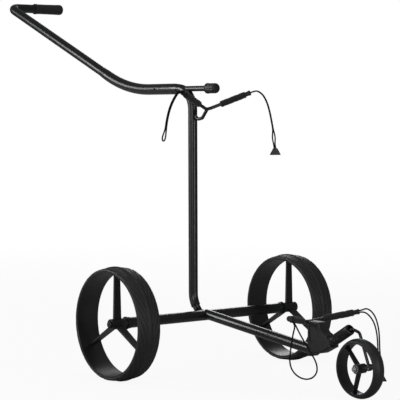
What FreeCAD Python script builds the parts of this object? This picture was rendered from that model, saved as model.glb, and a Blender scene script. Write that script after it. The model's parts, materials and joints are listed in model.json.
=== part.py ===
import FreeCAD, Part
import math
import os

# A three-wheeled golf push cart, without a bag.
# Everything is drawn from the middle of the rear axle line at ground height:
# X runs along the axle (to the user's right), the front wheel is towards -Y,
# the handle towards +Y and Z is up. save() then moves every piece so that the
# origin lies on the ground under the middle of the whole cart.
# Sizes are in millimetres.

# ---------------------------------------------------------------- driving sizes
track = 576.0                 # between the middles of the rear wheels
wheelbase = 582.5             # rear axle to front axle
handle_reach = 951.0          # rear axle to the cross tube of the handle
handle_height = 995.0         # middle of the cross tube above the ground

# rear wheels
rear_radius = 145.0           # over the raised centre rib of the tyre
rear_width = 66.0
rear_bore = 130.5             # clear radius inside the rim barrel
barrel_wall = 3.5
tyre_shoulder = 5.2           # how far the tread edge lies below the rib
rib_height = 1.0
rib_width = 5.0
edge_round = 3.0
hub_radius = 13.4
hub_in = 25.0                 # hub length inboard and outboard of the spokes
hub_out = 21.0
spoke_count = 3
spoke_depth_hub = 22.0        # along the axle
spoke_depth_rim = 17.0
spoke_web_hub = 6.5           # across the spoke
spoke_web_rim = 4.8
spoke_angle = 90.0

# rear axle
axle_radius = 13.5
axle_wall = 2.0
axle_end_gap = 39.0           # from the middle of the wheel to the tube's end
stub_radius = 6.0
stub_end = 13.0               # how far the stub reaches past the wheel's middle
stub_grip = 60.0              # length of stub held in the socket inside the tube
socket_radius = 12.0
collar_radius = 14.6
collar_length = 13.0
flange_radius = 16.5
flange_thick = 2.6
flute_count = 24
bearing_radius = 10.5
bearing_width = 5.0
button_radius = 8.8
button_stand = 6.2
button_travel = 3.0

# front wheel and fork
front_radius = 71.7
front_width = 33.0
front_bore = 60.4
front_barrel_wall = 2.6
front_hub_radius = 11.5
front_hub_half = 14.0
front_spoke_web = 3.4
front_spoke_depth = 12.0
front_spoke_angle = 47.0
front_bolt_radius = 4.0
front_bearing_radius = 9.0
front_bearing_width = 5.0
fork_radius = 3.75
fork_bend = 8.5
fork_side = 30.0              # fork leg to the middle of the wheel
fork_eye_radius = 8.5
fork_eye_width = 8.0
sleeve_radius = 13.3
sleeve_flange = 15.2
sleeve_base = (-489.0, 127.0)     # Y, Z of the sleeve's lower end
sleeve_length = 71.0
sleeve_rise = 30.0            # degrees above level
sleeve_mouth = 9.2            # radius of the hollow at the tip, where the fork rod bends
sleeve_gap = 0.4

# frame tubes
front_tube_radius = 13.0
front_tube_wall = 1.8
front_tube_fall = 6.7         # degrees below level
front_tube_start = 148.0      # height of its centre line over the rear axle
front_tube_end = -421.0
mast_radius = 12.2
mast_wall = 1.6
mast_y = 55.5                 # the mast stands this far behind the axle
mast_bend = 55.5
mast_top = 740.0              # height of the level neck at the top
neck_end = 200.0
mast_foot_turn = 36.0         # degrees of bend the mast tube makes at its foot
foot_radius = 10.0
hinge_y = 28.0
hinge_z = 150.0
hinge_pin_radius = 4.0
hinge_eye = 7.5
tongue_half = 5.0
ear_thick = 4.0

# handle
elbow_radius = 14.6
elbow_wall = 2.3
elbow_start = 112.0
elbow_lead = 20.0              # the elbow's end narrows to the mast over this length
elbow_corner = 344.0
elbow_bend = 480.0
elbow_leg = 108.0             # from the elbow's corner to where its taper starts
elbow_taper = 26.0
handle_radius = 13.1
handle_wall = 1.6
handle_corner_bend = 27.0
grip_start = 83.5
grip_length = 100.5
grip_radius = 14.9
grip_lip_radius = 16.0
grip_lip = 9.0
grip_end_wall = 5.0

# draw bolt that clamps the handle
guide_radius = 7.3
guide_end = -7.5
draw_radius = 4.0
knob_radius = 13.4
knob_length = 37.0
knob_socket = 23.0
knob_flutes = 12
wedge_length = 22.0

# bag cradles: two arms that leave a crotch, each with a foam sleeve
rod_radius = 4.4
cradle_bend = 22.0
upper_crotch = (-5.0, 684.5)
upper_tip = (106.0, -44.0, 726.0)
upper_stem = [(43.0, 668.0), (33.0, 659.5), (14.5, 662.5), (-6.2, 685.8)]
lower_crotch = (-396.0, 165.5)
lower_tip = (108.0, -456.0, 186.5)
lower_stem = [(-397.5, 165.0), (-420.0, 146.0)]
pad_radius = 8.3
pad_from = 0.33               # part of the arm's length where the foam starts
cap_radius = 6.0
cap_length = 13.0
cap_overhang = 7.0            # how far a cap reaches past the rod's tip
side_mouth_reach = 8.0

# front casting: a boot that takes the front tube, the cradle stem and the sleeve
casting_half = 15.6
casting_rear = -415.0
casting_front = -453.0        # front of the column at its top
casting_top = 170.0
casting_base = 84.2
casting_toe = -460.0          # where the sole turns up to the sleeve
casting_toe_lift = 11.5
casting_edge = 5.0
spigot_length = 30.0          # of the casting, inside the front tube
panel_inset = 6.5
panel_depth = 1.2

# elastic cords
cord_radius = 1.9
strand_gap = 4.3              # between the centre lines of a cord's two strands at a cap
toggle_top = 10.0
toggle_base = 30.0
toggle_height = 18.0
toggle_thick = 8.0

running = 0.05                # radial clearance of a shaft in its hole
apart = 0.35                  # between faces of pieces that move past each other
seat = 0.03                   # radial clearance of pieces pressed together

V = FreeCAD.Vector
X_AXIS = V(1, 0, 0)
Y_AXIS = V(0, 1, 0)

# the origin lies under the middle of the cart's length
front_reach = wheelbase + front_radius
rear_reach = handle_reach + grip_lip_radius
middle_y = (rear_reach - front_reach) / 2


# ---------------------------------------------------------------- helpers
def save(shape, name):
    moved = shape.copy()
    moved.translate(V(0, -middle_y, 0))
    moved.exportStep("parts/" + name + ".step")


def group(shapes):
    return shapes[0] if len(shapes) == 1 else Part.makeCompound(shapes)


def fused(shapes):
    whole = shapes[0].multiFuse(shapes[1:]) if len(shapes) > 1 else shapes[0]
    return whole.removeSplitter()


def mirrored(shape):
    return shape.mirror(V(0, 0, 0), X_AXIS)


def rod(start, end, radius, bore=0.0):
    axis = end - start
    solid = Part.makeCylinder(radius, axis.Length, start, axis)
    if bore:
        solid = solid.cut(Part.makeCylinder(bore, axis.Length, start, axis))
    return solid


def ring_x(profile, y, z):
    """Turn a list of (x, radius) points about the line along X through y, z."""
    points = [V(x, y, z + radius) for x, radius in profile]
    face = Part.Face(Part.makePolygon(points + points[:1]))
    return face.revolve(V(0, y, z), X_AXIS, 360)


def tangent_path(points, bend=None):
    """Straight runs joined by arcs; without a bend, each arc is as large as its runs allow."""
    edges = []
    radii = []
    last = points[0]
    for before, here, after in zip(points, points[1:], points[2:]):
        into = (here - before).normalize()
        out = (after - here).normalize()
        half = into.getAngle(out) / 2
        shorter = min((here - before).Length, (after - here).Length)
        radius = bend or 0.45 * shorter / math.tan(half)
        cut = radius * math.tan(half)
        first = here - into * cut
        second = here + out * cut
        side = (out - into).normalize()
        middle = here + side * (radius / math.cos(half) - radius)
        edges.append(Part.LineSegment(last, first).toShape())
        edges.append(Part.Arc(first, middle, second).toShape())
        radii.append(radius)
        last = second
    edges.append(Part.LineSegment(last, points[-1]).toShape())
    return Part.Wire(edges), radii


def sweep(path, radius):
    start = path.Edges[0]
    circle = Part.Circle(start.valueAt(start.FirstParameter), start.tangentAt(start.FirstParameter), radius)
    return path.makePipeShell([Part.Wire([circle.toShape()])], True, False)


def bent_tube(points, bend, radius, wall=0.0):
    path, _ = tangent_path(points, bend)
    outer = sweep(path, radius)
    return outer.cut(sweep(path, radius - wall)) if wall else outer


def yz(y, z, x=0.0):
    return V(x, y, z)


def arc_point(turn):
    """Centre of the mast's tube after its foot has turned this many degrees forward."""
    angle = math.radians(turn)
    return yz(mast_bend * math.cos(angle) + mast_y - mast_bend,
              rear_radius - 1 + mast_bend * (1 - math.sin(angle)))


def foot_arc(first, last):
    middle = (first + last) / 2
    return Part.Wire([Part.Arc(arc_point(first), arc_point(middle), arc_point(last)).toShape()])


# ---------------------------------------------------------------- rear wheels
def rear_tyre():
    half = rear_width / 2
    inner = rear_bore + barrel_wall + seat
    edge = rear_radius - tyre_shoulder
    crown = rear_radius - rib_height
    rib = rib_width / 2
    profile = [(-half, inner), (-half, edge - edge_round), (-half + edge_round, edge),
               (-half * 0.45, crown - 1.0), (-rib, crown), (-rib, rear_radius),
               (rib, rear_radius), (rib, crown), (half * 0.45, crown - 1.0),
               (half - edge_round, edge), (half, edge - edge_round), (half, inner)]
    return ring_x(profile, 0, rear_radius)


def spoke(angle, centre, start, end, depths, webs, offset=0.0):
    """A web that tapers from hub to rim, standing radially in the wheel."""
    sections = []
    for distance, depth, web in zip((start, end), depths, webs):
        corners = [V(-depth / 2 + offset, -web / 2, distance), V(depth / 2 + offset, -web / 2, distance),
                   V(depth / 2 + offset, web / 2, distance), V(-depth / 2 + offset, web / 2, distance)]
        sections.append(Part.makePolygon(corners + corners[:1]))
    blade = Part.makeLoft(sections, True, True)
    blade.rotate(V(0, 0, 0), X_AXIS, angle - 90)
    blade.translate(centre)
    return blade


def rear_rim():
    half = rear_width / 2
    outer = rear_bore + barrel_wall
    barrel = ring_x([(-half, rear_bore + 1.5), (-half + 1.5, rear_bore), (half - 1.5, rear_bore),
                     (half, rear_bore + 1.5), (half, outer), (-half, outer)], 0, rear_radius)
    centre = yz(0, rear_radius)
    hub = rod(centre - X_AXIS * hub_in, centre + X_AXIS * hub_out, hub_radius)
    blades = [spoke(spoke_angle + turn * 360 / spoke_count, centre, hub_radius / 2,
                    rear_bore + barrel_wall / 2, (spoke_depth_hub, spoke_depth_rim),
                    (spoke_web_hub, spoke_web_rim)) for turn in range(spoke_count)]
    wheel = fused([barrel, hub] + blades)
    # bearing seats at both ends, a passage for the stub axle and the button's guide
    passage = rod(centre - X_AXIS * (hub_in + 1), centre + X_AXIS * (hub_out + 1), stub_radius + 2)
    seat_in = rod(centre - X_AXIS * (hub_in + 1), centre - X_AXIS * (hub_in - bearing_width),
                  bearing_radius + seat)
    seat_out = rod(centre + X_AXIS * (stub_end - bearing_width - 4), centre + X_AXIS * (hub_out + 1),
                   bearing_radius + seat)
    return wheel.cut(fused([passage, seat_in, seat_out]))


def rear_bearings():
    centre = yz(0, rear_radius)
    starts = (-hub_in, stub_end - bearing_width - 4)
    return group([rod(centre + X_AXIS * x, centre + X_AXIS * (x + bearing_width), bearing_radius,
                      stub_radius + running) for x in starts])


def button_guide():
    """The bush in the hub's mouth that holds the button and backs its spring."""
    centre = yz(0, rear_radius)
    return rod(centre + X_AXIS * stub_end, centre + X_AXIS * (hub_out - 0.5), bearing_radius,
               button_radius + running)


def release_button():
    centre = yz(0, rear_radius)
    inner = stub_end + button_travel + 0.8
    cap = ring_x([(inner, 0), (inner, button_radius), (hub_out + button_stand - 2.2, button_radius),
                  (hub_out + button_stand - 0.6, button_radius - 1.8),
                  (hub_out + button_stand, button_radius - 4.5), (hub_out + button_stand, 0)],
                 0, rear_radius)
    recess = rod(centre + X_AXIS * (inner - 1), centre + X_AXIS * (hub_out + 1.5), button_radius - 1.6)
    return cap.cut(recess)


# ---------------------------------------------------------------- rear axle
socket_outer = track / 2 - hub_in - apart      # outer end of the axle's socket
tube_end = track / 2 - axle_end_gap            # outer end of the axle tube


def axle_tube():
    ends = (V(-tube_end, 0, rear_radius), V(tube_end, 0, rear_radius))
    return rod(ends[0], ends[1], axle_radius, axle_radius - axle_wall)


def axle_socket():
    """Turned end piece: a spigot pressed in the tube and a neck that holds the stub axle."""
    spigot = axle_radius - axle_wall - seat
    inner = tube_end - stub_grip
    neck = ring_x([(inner, stub_radius + seat), (inner, spigot), (tube_end, spigot),
                   (tube_end, socket_radius), (socket_outer, socket_radius),
                   (socket_outer, stub_radius + seat)], 0, rear_radius)
    return neck


def axle_collar():
    """Knurled ring with a thin flange that shields the hub bearing."""
    start = socket_outer - collar_length
    profile = [(start, socket_radius + seat), (start, collar_radius - 0.8), (start + 0.8, collar_radius),
               (socket_outer - flange_thick, collar_radius), (socket_outer - flange_thick, flange_radius),
               (socket_outer, flange_radius), (socket_outer, socket_radius + seat)]
    collar = ring_x(profile, 0, rear_radius)
    flutes = []
    for turn in range(flute_count):
        angle = 2 * math.pi * turn / flute_count
        y = (collar_radius + 0.35) * math.cos(angle)
        z = rear_radius + (collar_radius + 0.35) * math.sin(angle)
        flutes.append(rod(V(start - 1, y, z), V(socket_outer - flange_thick - 1.5, y, z), 0.9))
    return collar.cut(Part.makeCompound(flutes))


def stub_axle():
    inner = tube_end - stub_grip
    tip = track / 2 + stub_end
    groove = tip - 3.0
    profile = [(inner, 0), (inner, stub_radius), (groove - 1.5, stub_radius), (groove - 1.5, stub_radius - 1),
               (groove, stub_radius - 1), (groove, stub_radius), (tip - 1, stub_radius),
               (tip, stub_radius - 1), (tip, 0)]
    return ring_x(profile, 0, rear_radius)


# ---------------------------------------------------------------- frame
fall = math.radians(front_tube_fall)
rise = math.radians(sleeve_rise)
sleeve_axis = V(0, -math.cos(rise), math.sin(rise))
sleeve_start = yz(*sleeve_base)


def front_line(y):
    """A point on the front tube's centre line."""
    return yz(y, front_tube_start + y * math.tan(fall))


def front_tube():
    tube = rod(front_line(0), front_line(front_tube_end), front_tube_radius,
               front_tube_radius - front_tube_wall)
    across = rod(V(-60, 0, rear_radius), V(60, 0, rear_radius), axle_radius + 0.02)
    coped = tube.cut(across)
    return max(coped.Solids, key=lambda solid: solid.Volume)


def plate(points, x, thickness):
    face = Part.Face(Part.makePolygon([yz(y, z, x) for y, z in points + points[:1]]))
    return face.extrude(V(thickness, 0, 0))


def hinge_bracket():
    """Two ears and a web, shaped to the back of the axle tube."""
    root = axle_radius * 0.55
    outline = [(root, rear_radius - 11), (hinge_y, hinge_z - hinge_eye), (hinge_y, hinge_z + hinge_eye),
               (root, rear_radius + 4)]
    pieces = []
    for side in (-1, 1):
        x = tongue_half + apart if side > 0 else -tongue_half - apart - ear_thick
        ear = plate(outline, x, ear_thick)
        eye = rod(yz(hinge_y, hinge_z, x), yz(hinge_y, hinge_z, x + ear_thick), hinge_eye)
        pieces += [ear, eye]
    wide = tongue_half + apart + ear_thick
    web = plate([(root, rear_radius - 9), (axle_radius + 3.0, rear_radius - 7),
                 (axle_radius + 3.0, rear_radius), (root, rear_radius + 3)], -wide, 2 * wide)
    body = fused(pieces + [web])
    across = rod(V(-60, 0, rear_radius), V(60, 0, rear_radius), axle_radius + 0.02)
    hole = rod(yz(hinge_y, hinge_z, -30), yz(hinge_y, hinge_z, 30), hinge_pin_radius + seat)
    return body.cut(across).cut(hole)


def hinge_bolt():
    wide = tongue_half + apart + ear_thick
    pin = rod(yz(hinge_y, hinge_z, -wide - 5), yz(hinge_y, hinge_z, wide + 0.1), hinge_pin_radius)
    head = ring_x([(wide + 0.1, 0), (wide + 0.1, 6.3), (wide + 1.6, 6.0), (wide + 3.4, 3.8), (wide + 3.8, 0)],
                  hinge_y, hinge_z)
    return fused([pin, head])


def hexagon(centre, axis, flats, height):
    corner = flats / math.sqrt(3)
    points = [V(corner * math.cos(math.radians(60 * turn)), corner * math.sin(math.radians(60 * turn)), 0)
              for turn in range(6)]
    prism = Part.Face(Part.makePolygon(points + points[:1])).extrude(V(0, 0, height))
    prism.Placement = FreeCAD.Placement(centre, FreeCAD.Rotation(V(0, 0, 1), axis))
    return prism


def hinge_nut():
    wide = tongue_half + apart + ear_thick
    nut = hexagon(yz(hinge_y, hinge_z, -wide - 0.1), V(-1, 0, 0), 13.0, 4.6)
    return nut.cut(rod(yz(hinge_y, hinge_z, -wide - 10), yz(hinge_y, hinge_z, -wide + 10),
                       hinge_pin_radius + seat))


def dome_screw(foot, axis, head_radius, shank_radius, shank_length):
    """A low domed screw whose head sits at foot and faces along axis."""
    shank = rod(foot - axis * shank_length, foot + axis * 0.5, shank_radius)
    head = Part.makeCylinder(head_radius, 1.2, foot, axis)
    dome = Part.makeCone(head_radius, head_radius * 0.55, 1.6, foot + axis * 1.2, axis)
    return fused([shank, head, dome])


junction_screw_y = (-20.0, -36.0)


def tube_screws(places, surface_radius, side):
    """Screws in the flank of the front tube, one behind the other."""
    out = V(side, 0, 0)
    return [dome_screw(front_line(y) + out * surface_radius, out, 3.2, 2.0, 5.0) for y in places]


def screw_holes(places, side):
    out = V(side, 0, 0)
    return [rod(front_line(y), front_line(y) + out * 30, 2.0 + seat) for y in places]


# ---------------------------------------------------------------- mast and its foot
def mast_tube():
    foot = foot_arc(mast_foot_turn, 0)
    shoulder = yz(mast_y, mast_top)
    rise_path, _ = tangent_path([arc_point(0), shoulder, yz(neck_end, mast_top)], mast_bend)
    path = Part.Wire(foot.Edges + rise_path.Edges)
    tube = sweep(path, mast_radius).cut(sweep(path, mast_radius - mast_wall))
    draw_hole = rod(yz(-20, mast_top), yz(mast_y + mast_bend, mast_top), draw_radius + 1.0)
    return tube.cut(draw_hole)


def mast_foot():
    """Solid plug in the mast's lower end, with the tongue of the fold hinge."""
    plug = sweep(foot_arc(mast_foot_turn - 22, mast_foot_turn), mast_radius - mast_wall - seat)
    neck = sweep(foot_arc(mast_foot_turn, mast_foot_turn + 15), foot_radius)
    end = arc_point(mast_foot_turn + 15)
    tongue = plate([(end.y + 5, end.z + 8), (end.y - 6, end.z + 7), (hinge_y - hinge_eye * 0.8, hinge_z + 4),
                    (hinge_y - 2, hinge_z - hinge_eye + 0.4), (hinge_y + 4, hinge_z - hinge_eye + 1.4),
                    (end.y + 8, end.z - 6)], -tongue_half, 2 * tongue_half)
    eye = rod(yz(hinge_y, hinge_z, -tongue_half), yz(hinge_y, hinge_z, tongue_half), hinge_eye)
    body = fused([plug, neck, tongue, eye])
    for side in (-1, 1):
        x = tongue_half if side > 0 else -tongue_half - 20
        body = body.cut(Part.makeCylinder(hinge_eye + 1.0, 20, yz(hinge_y, hinge_z, x), X_AXIS))
    hole = rod(yz(hinge_y, hinge_z, -30), yz(hinge_y, hinge_z, 30), hinge_pin_radius + running)
    return body.cut(hole)


# ---------------------------------------------------------------- draw bolt
def draw_bolt_guide():
    """Short tube welded to the outside of the mast's upper bend."""
    bend_centre = yz(mast_y + mast_bend, mast_top - mast_bend)
    guide = rod(yz(guide_end, mast_top), yz(mast_y + 35, mast_top), guide_radius, draw_radius + 0.6)
    straight = rod(yz(mast_y, mast_top - mast_bend - 60), yz(mast_y, mast_top - mast_bend),
                   mast_radius + 0.02)
    bend = Part.makeTorus(mast_bend, mast_radius + 0.02, bend_centre, X_AXIS)
    coped = guide.cut(bend).cut(straight)
    return max(coped.Solids, key=lambda solid: -solid.CenterOfMass.y)


def clamp_knob():
    face_end = guide_end - apart
    tip = face_end - knob_length
    profile = [(0, 0), (0, knob_radius + 0.6), (4.0, knob_radius + 0.6), (6.0, knob_radius - 0.4),
               (knob_length - 7.0, knob_radius - 0.6), (knob_length - 2.0, knob_radius - 2.9),
               (knob_length, knob_radius - 6.0), (knob_length, 0)]
    points = [V(0, face_end - along, mast_top + radius) for along, radius in profile]
    body = Part.Face(Part.makePolygon(points + points[:1])).revolve(yz(0, mast_top), Y_AXIS, 360)
    flutes = []
    for turn in range(knob_flutes):
        angle = 2 * math.pi * turn / knob_flutes
        x = (knob_radius + 0.9) * math.cos(angle)
        z = mast_top + (knob_radius + 0.9) * math.sin(angle)
        flutes.append(rod(V(x, face_end - 7.5, z), V(x, tip - 1, z), 2.2))
    socket = rod(yz(face_end + 1, mast_top), yz(face_end - knob_socket - 1, mast_top), draw_radius + seat)
    return body.cut(Part.makeCompound(flutes)).cut(socket)


def draw_bolt():
    return rod(yz(guide_end - apart - knob_socket, mast_top), yz(neck_end + 12, mast_top), draw_radius)


def expander_wedge():
    """Cone that the draw bolt pulls into the neck to spread it inside the elbow."""
    bore = mast_radius - mast_wall
    points = [V(0, neck_end - 8, mast_top), V(0, neck_end - 8, mast_top + bore - 1.2),
              V(0, neck_end - 1, mast_top + bore - 0.2), V(0, neck_end + 0.4, mast_top + bore - 0.2),
              V(0, neck_end + 6, mast_top + mast_radius - 0.6),
              V(0, neck_end - 8 + wedge_length, mast_top + mast_radius - 0.6),
              V(0, neck_end - 8 + wedge_length, mast_top)]
    cone = Part.Face(Part.makePolygon(points + points[:1])).revolve(yz(0, mast_top), Y_AXIS, 360)
    hole = rod(yz(neck_end - 20, mast_top), yz(neck_end + 40, mast_top), draw_radius + running)
    return cone.cut(hole)


# ---------------------------------------------------------------- handle
corner = yz(elbow_corner, mast_top)
crook = yz(handle_reach, handle_height)
slant = (crook - corner).normalize()


def handle_elbow():
    bore = elbow_radius - elbow_wall + running
    end = corner + slant * elbow_leg
    tube = bent_tube([yz(elbow_start + elbow_lead, mast_top), corner, end], elbow_bend, elbow_radius,
                     elbow_wall - running)
    lead = Part.makeCone(bore + 0.6, elbow_radius, elbow_lead, yz(elbow_start, mast_top), Y_AXIS)
    lead = lead.cut(rod(yz(elbow_start - 1, mast_top), yz(elbow_start + elbow_lead + 1, mast_top), bore))
    taper = Part.makeCone(elbow_radius, handle_radius + 0.3, elbow_taper, end, slant)
    taper = taper.cut(rod(end - slant, end + slant * (elbow_taper + 1), bore))
    screw_hole = rod(yz(neck_end + 4, mast_top, -elbow_radius - 5), yz(neck_end + 4, mast_top), 2.0 + seat)
    return fused([lead, tube, taper]).cut(screw_hole)


def elbow_screw():
    return dome_screw(yz(neck_end + 4, mast_top, -elbow_radius), V(-1, 0, 0), 3.0, 2.0, 1.6)


def handle_tube():
    """Upper tube, spigoted into the elbow, that turns sideways to carry the grip."""
    start = corner + slant * (elbow_leg + elbow_taper)
    end = crook + X_AXIS * (grip_start + grip_length - grip_end_wall)
    tube = bent_tube([start, crook, end], handle_corner_bend, handle_radius, handle_wall)
    spigot_radius = elbow_radius - elbow_wall + running - seat
    plug = rod(start - slant * 37, start, spigot_radius, handle_radius - handle_wall - 2)
    tenon = rod(start - slant * 2, start + slant * 12, handle_radius - handle_wall + 0.2,
                handle_radius - handle_wall - 2)
    return fused([tube, plug, tenon])


def grip():
    inner = handle_radius + seat
    length = grip_length
    shoulder = grip_length - 9
    profile = [(0, inner), (0, grip_lip_radius - 1.0), (1.0, grip_lip_radius),
               (grip_lip - 1.5, grip_lip_radius), (grip_lip, grip_radius), (length * 0.45, grip_radius),
               (length * 0.75, grip_radius + 0.3), (shoulder, grip_radius + 0.9),
               (shoulder + 4.5, grip_radius - 0.2), (length - 1.2, grip_radius - 3.8),
               (length, grip_radius - 8), (length, 0), (length - grip_end_wall, 0),
               (length - grip_end_wall, inner)]
    points = [V(grip_start + x, handle_reach, handle_height + radius) for x, radius in profile]
    face = Part.Face(Part.makePolygon(points + points[:1]))
    return face.revolve(crook, X_AXIS, 360)


# ---------------------------------------------------------------- bag cradles
def arm_ends(crotch, tip):
    return yz(*crotch), V(*tip)


def cradle_rod(crotch, tip):
    """One rod bent at the crotch into two arms."""
    middle, right = arm_ends(crotch, tip)
    left = V(-right.x, right.y, right.z)
    return bent_tube([left, middle, right], cradle_bend, rod_radius)


def cradle_stem(points, blocks):
    path = [yz(y, z) for y, z in points]
    stem = bent_tube(path, 9.0, rod_radius) if len(path) > 2 else rod(path[0], path[1], rod_radius)
    for block in blocks:
        stem = stem.cut(block)
    return max(stem.Solids, key=lambda solid: solid.Volume)


def cradle_pad(crotch, tip):
    """Foam sleeve from the arm's bare root to the cap on its tip."""
    middle, right = arm_ends(crotch, tip)
    axis = (right - middle).normalize()
    start = middle + (right - middle) * pad_from
    end = right - axis * (cap_length - cap_overhang)
    pad = rod(start, end, pad_radius)
    rims = [edge for edge in pad.Edges if edge.Curve.TypeId == "Part::GeomCircle"]
    pad = pad.makeFillet(2.6, rims)
    return pad.cut(rod(start - axis * 5, end + axis * 5, rod_radius + seat))


def cap_frame(crotch, tip):
    """Middle of the cap's outer face, the arm's direction and the direction across it, upwards."""
    middle, right = arm_ends(crotch, tip)
    axis = (right - middle).normalize()
    level = axis.cross(V(0, 0, 1)).normalize()
    return right + axis * cap_overhang, axis, level.cross(axis)


def end_cap(crotch, tip, side_mouth=False):
    """Ferrule on the arm's tip that holds both ends of an elastic cord."""
    outer, axis, _ = cap_frame(crotch, tip)
    start = outer - axis * cap_length
    body = rod(start, outer, cap_radius).fuse(rod(outer - axis * 4.0, outer, cap_radius + 0.8))
    if side_mouth:
        foot, down = side_mouth_line(crotch, tip)
        body = body.fuse(rod(foot, foot + down * side_mouth_reach, cap_radius - 0.4))
    return body.removeSplitter().cut(rod(start - axis, outer - axis * cap_overhang, rod_radius + seat))


def side_mouth_line(crotch, tip):
    """A point on the cap's axis and the direction of a mouth that opens down and forward from it."""
    outer, axis, _ = cap_frame(crotch, tip)
    forward = axis.cross(V(0, 0, 1)).normalize()
    forward = forward if forward.y < 0 else forward * -1
    return outer - axis * (cap_radius + 0.4), (forward - V(0, 0, 1)).normalize()


# ---------------------------------------------------------------- front casting and fork
def front_casting():
    across = V(0, math.sin(rise), math.cos(rise))
    lip = sleeve_start - sleeve_axis * sleeve_gap
    low = lip - across * sleeve_flange
    high = lip + across * sleeve_flange
    outline = [(casting_rear, casting_base), (front_tube_end - 1, casting_base),
               (front_tube_end - 11, casting_base + casting_toe_lift * 0.6),
               (casting_toe, casting_base + casting_toe_lift), (low.y, low.z), (high.y, high.z),
               (casting_front - 13, high.z + 7), (casting_front - 3, high.z + 17),
               (casting_front, casting_top), (casting_rear, casting_top)]
    boot = plate(outline, -casting_half, 2 * casting_half)
    across_edges = [edge for edge in boot.Edges if edge.BoundBox.XLength > casting_half
                    and edge.CenterOfMass.sub(lip).Length > sleeve_flange + 1]
    rear_edges = [edge for edge in across_edges if abs(edge.CenterOfMass.y - casting_rear) < 0.1]
    boot = boot.makeFillet(4.5, [edge for edge in across_edges
                                 if not any(edge.isSame(other) for other in rear_edges)])
    flanks = [edge for edge in boot.Edges if edge.BoundBox.XLength < 0.1
              and abs(edge.CenterOfMass.y - casting_rear) > 0.1]
    boot = boot.makeFillet(casting_edge, flanks)
    panels = []
    for side in (-1, 1):
        x = casting_half - panel_depth if side > 0 else -casting_half
        rear = casting_rear - panel_inset
        front = casting_front + panel_inset
        top = casting_top - panel_inset
        sink = plate([(rear, 121.0), (rear - 11, 118.5), (front - 1.5, 141.0), (front, top), (rear, top)],
                     x, panel_depth)
        panels.append(sink.makeFillet(3.5, [edge for edge in sink.Edges if edge.BoundBox.XLength > 0.1]))
    boot = boot.cut(Part.makeCompound(panels))
    socket = rod(front_line(casting_rear + 5), front_line(front_tube_end), front_tube_radius + seat)
    spigot = rod(front_line(front_tube_end + spigot_length), front_line(front_tube_end - 2),
                 front_tube_radius - front_tube_wall - seat)
    pivot_hole = rod(sleeve_start - sleeve_axis * 30, sleeve_start + sleeve_axis * 5, fork_radius + running)
    return fused([boot.cut(socket), spigot]).cut(pivot_hole)


def tracking_sleeve():
    """Knurled sleeve that the fork rod turns in when its direction is set."""
    tip = sleeve_start + sleeve_axis * sleeve_length
    base = sleeve_start
    body = rod(base, tip, sleeve_radius)
    rims = [edge for edge in body.Edges if edge.Curve.TypeId == "Part::GeomCircle"
            and edge.Curve.Center.sub(tip).Length < 1]
    body = body.makeFillet(3.5, rims)
    flange = rod(base, base + sleeve_axis * 4.0, sleeve_flange)
    body = fused([body, flange])
    side = V(1, 0, 0)
    over = sleeve_axis.cross(side)
    flutes = []
    for turn in range(flute_count):
        angle = 2 * math.pi * turn / flute_count
        out = side * math.cos(angle) + over * math.sin(angle)
        middle = base + out * (sleeve_radius + 0.4)
        flutes.append(rod(middle + sleeve_axis * 12, middle + sleeve_axis * 50, 1.0))
    hole = rod(base - sleeve_axis, tip + sleeve_axis, fork_radius + apart)
    mouth = rod(tip - sleeve_axis * 13, tip + sleeve_axis, sleeve_mouth)
    return body.cut(Part.makeCompound(flutes)).cut(hole).cut(mouth)


hub_y = -wheelbase


def fork_rod():
    """Single leg: through the sleeve, across to the wheel's flank and down to its axle."""
    tip = sleeve_start + sleeve_axis * (sleeve_length + 3.5)
    shoulder = V(fork_side, hub_y + 33.0, front_radius + 80.0)
    leg_end = V(fork_side, hub_y, front_radius)
    leg = leg_end - shoulder
    stop = shoulder + leg * (1 - (fork_eye_radius - 2.5) / leg.Length)
    start = sleeve_start - sleeve_axis * 26.0
    first, _ = tangent_path([start, tip, shoulder, stop], fork_bend)
    bar = sweep(first, fork_radius)
    eye = rod(V(fork_side - fork_eye_width / 2, hub_y, front_radius),
              V(fork_side + fork_eye_width / 2, hub_y, front_radius), fork_eye_radius)
    hole = rod(V(fork_side - 20, hub_y, front_radius), V(fork_side + 20, hub_y, front_radius),
               front_bolt_radius + seat)
    return fused([bar, eye]).cut(hole)


def front_tyre():
    half = front_width / 2
    inner = front_bore + front_barrel_wall + seat
    sag = 6.1
    flank = V(-half, hub_y, front_radius * 2 - sag)
    crown = V(0, hub_y, front_radius * 2)
    flank_right = V(half, hub_y, front_radius * 2 - sag)
    edges = [Part.Arc(flank, crown, flank_right).toShape(),
             Part.makeLine(flank_right, V(half, hub_y, front_radius + inner)),
             Part.makeLine(V(half, hub_y, front_radius + inner), V(-half, hub_y, front_radius + inner)),
             Part.makeLine(V(-half, hub_y, front_radius + inner), flank)]
    return Part.Face(Part.Wire(edges)).revolve(V(0, hub_y, front_radius), X_AXIS, 360)


def front_rim():
    half = front_width / 2
    barrel = ring_x([(-half, front_bore), (half, front_bore), (half, front_bore + front_barrel_wall),
                     (-half, front_bore + front_barrel_wall)], hub_y, front_radius)
    centre = yz(hub_y, front_radius)
    hub = rod(centre - X_AXIS * front_hub_half, centre + X_AXIS * front_hub_half, front_hub_radius)
    blades = [spoke(front_spoke_angle + turn * 360 / spoke_count, centre, front_hub_radius / 2,
                    front_bore + front_barrel_wall / 2, (front_spoke_depth + 2, front_spoke_depth),
                    (front_spoke_web + 1, front_spoke_web)) for turn in range(spoke_count)]
    wheel = fused([barrel, hub] + blades)
    passage = rod(centre - X_AXIS * (front_hub_half + 1), centre + X_AXIS * (front_hub_half + 1),
                  front_bolt_radius + 2)
    seats = [rod(centre + X_AXIS * side * (front_hub_half - front_bearing_width),
                 centre + X_AXIS * side * (front_hub_half + 1), front_bearing_radius + seat)
             for side in (-1, 1)]
    return wheel.cut(fused([passage] + seats))


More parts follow.
